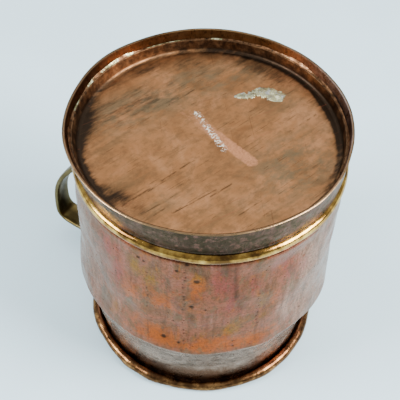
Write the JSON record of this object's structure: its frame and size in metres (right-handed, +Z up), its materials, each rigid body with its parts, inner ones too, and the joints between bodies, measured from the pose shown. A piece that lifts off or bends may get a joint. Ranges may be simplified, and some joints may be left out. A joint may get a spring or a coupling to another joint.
{
  "type": "copper mug",
  "caption": "Handmade copper mug stored resting on its mouth: rolled rim, waisted neck, barrel body, brass bead, flared foot ring with a recessed base, and a brass strap handle",
  "frame": {"origin": "Centre of the mouth, on the plane that the rolled rim rests on. The mug is stored as it stands in its picture, upside down on its mouth.", "axes": "+Z runs up from the mouth to the foot, along the mug's own centre line. The handle stands out along -X, and the mug is symmetric about the XZ plane."},
  "size_m": [0.118, 0.0924, 0.1012],
  "materials": {
    "barrel_copper": "hammered copper with a mottled orange, pink and olive patina",
    "foot_copper": "satin copper with a grey-pink patina and a bright worn edge",
    "base_copper": "satin copper with scratches and dark tarnish",
    "solder": "dull tin solder",
    "bead_brass": "polished brass, tarnished brown in places",
    "handle_brass": "dark olive-brown tarnished brass",
    "rivet_brass": "tarnished brass",
    "iron_wire": "drawn iron wire"
  },
  "bodies": {
    "root": {"body": "barrel_copper", "rim_wire": "iron_wire", "foot_ring": "foot_copper", "base_pan": "base_copper", "base_solder": "solder", "bead_ring": "bead_brass", "handle": "handle_brass", "mouth_rivets": "rivet_brass", "foot_rivet": "rivet_brass"}
  },
  "joints": []
}
